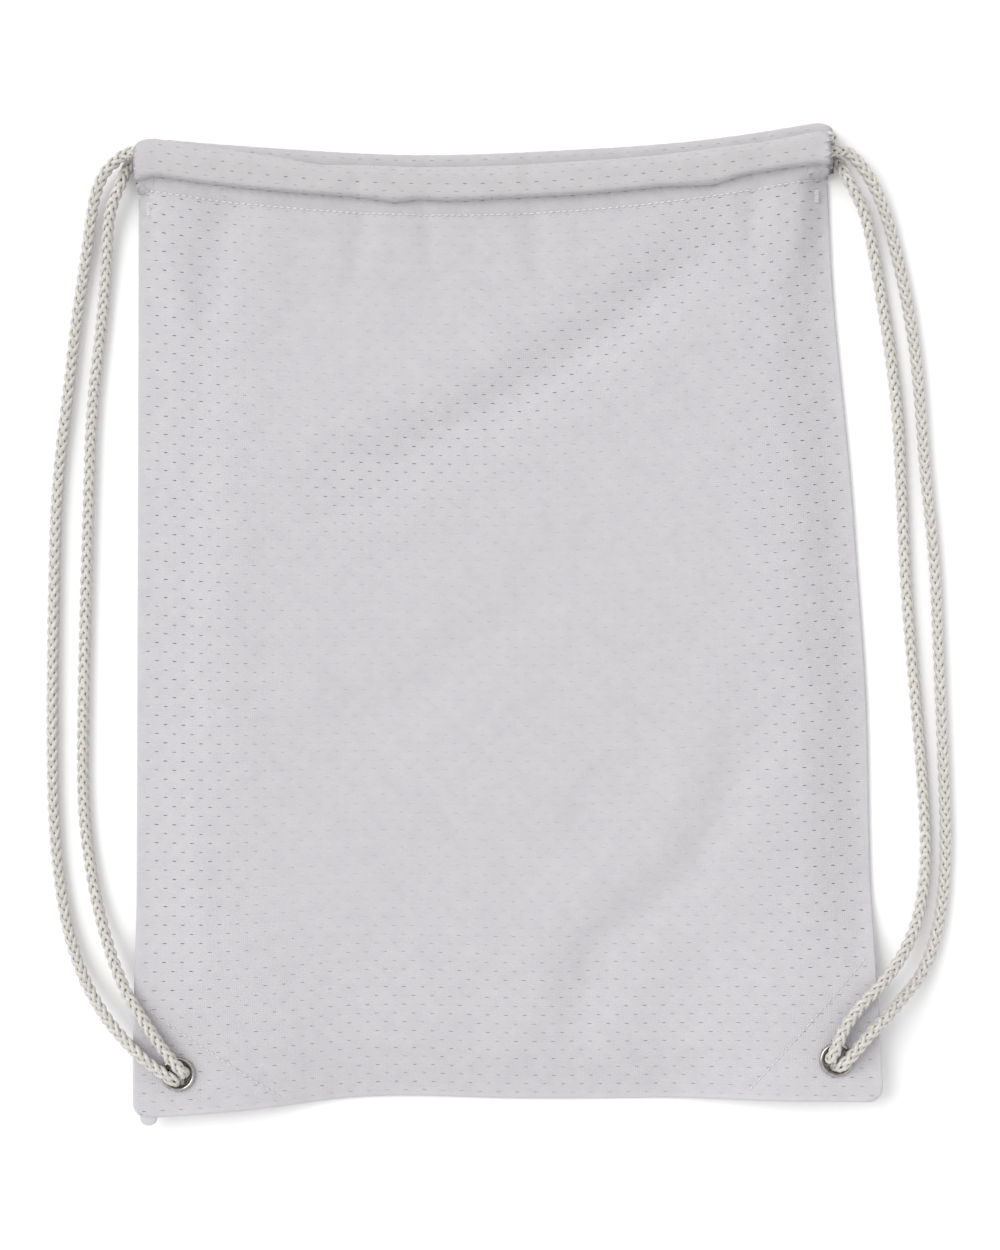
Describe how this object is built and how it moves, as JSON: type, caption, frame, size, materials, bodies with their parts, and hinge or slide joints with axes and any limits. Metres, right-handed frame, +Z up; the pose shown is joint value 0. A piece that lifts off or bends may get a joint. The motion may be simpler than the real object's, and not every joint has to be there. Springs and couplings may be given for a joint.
{
  "type": "drawstring mesh bag",
  "caption": "Flat drawstring bag of white mesh cloth with folded cord casings, braided shoulder cords, corner patches and metal eyelets",
  "frame": {"origin": "on the table under the middle of the bag, halfway between the side seams and halfway between the bottom seam and the top of the casings", "axes": "+Z up from the table through the front panel, +Y towards the mouth, +X to the right when looking down on the front panel"},
  "size_m": [0.4304, 0.4671, 0.0237],
  "materials": {
    "mesh_cloth": "white polyester knit mesh with rows of small oval holes, slight sheen",
    "patch_cloth": "plain white reinforcement cloth",
    "thread": "white polyester sewing thread",
    "braided_cord": "off-white satin braid",
    "eyelet_metal": "bright nickel plate"
  },
  "bodies": {
    "bag": {"front_panel": "mesh_cloth", "back_panel": "mesh_cloth", "front_hem_stitching": "thread", "back_hem_stitching": "thread", "left_side_seam": "mesh_cloth", "right_side_seam": "mesh_cloth", "bottom_seam": "mesh_cloth", "left_corner_patch": "patch_cloth", "right_corner_patch": "patch_cloth", "left_patch_stitching": "thread", "right_patch_stitching": "thread", "left_bartack": "thread", "right_bartack": "thread", "left_eyelet": "eyelet_metal", "right_eyelet": "eyelet_metal", "left_eyelet_washer": "eyelet_metal", "right_eyelet_washer": "eyelet_metal", "left_cord_casing_run": "braided_cord", "right_cord_casing_run": "braided_cord", "left_cord_knot": "braided_cord", "right_cord_knot": "braided_cord"},
    "left_strap": {"left_cord_outer_strand": "braided_cord", "left_cord_inner_strand": "braided_cord"},
    "right_strap": {"right_cord_outer_strand": "braided_cord", "right_cord_inner_strand": "braided_cord"}
  },
  "joints": [
    {"name": "left_strap_swing", "type": "hinge", "parent": "bag", "child": "left_strap", "pos_m": [-0.17395, 0.2155, 0.0096], "axis": [-0.0441, 0.9987, -0.0246], "range_deg": [0, 75]},
    {"name": "right_strap_swing", "type": "hinge", "parent": "bag", "child": "right_strap", "pos_m": [0.1695, 0.2115, 0.0096], "axis": [-0.034, -0.9991, 0.0248], "range_deg": [0, 75]}
  ]
}
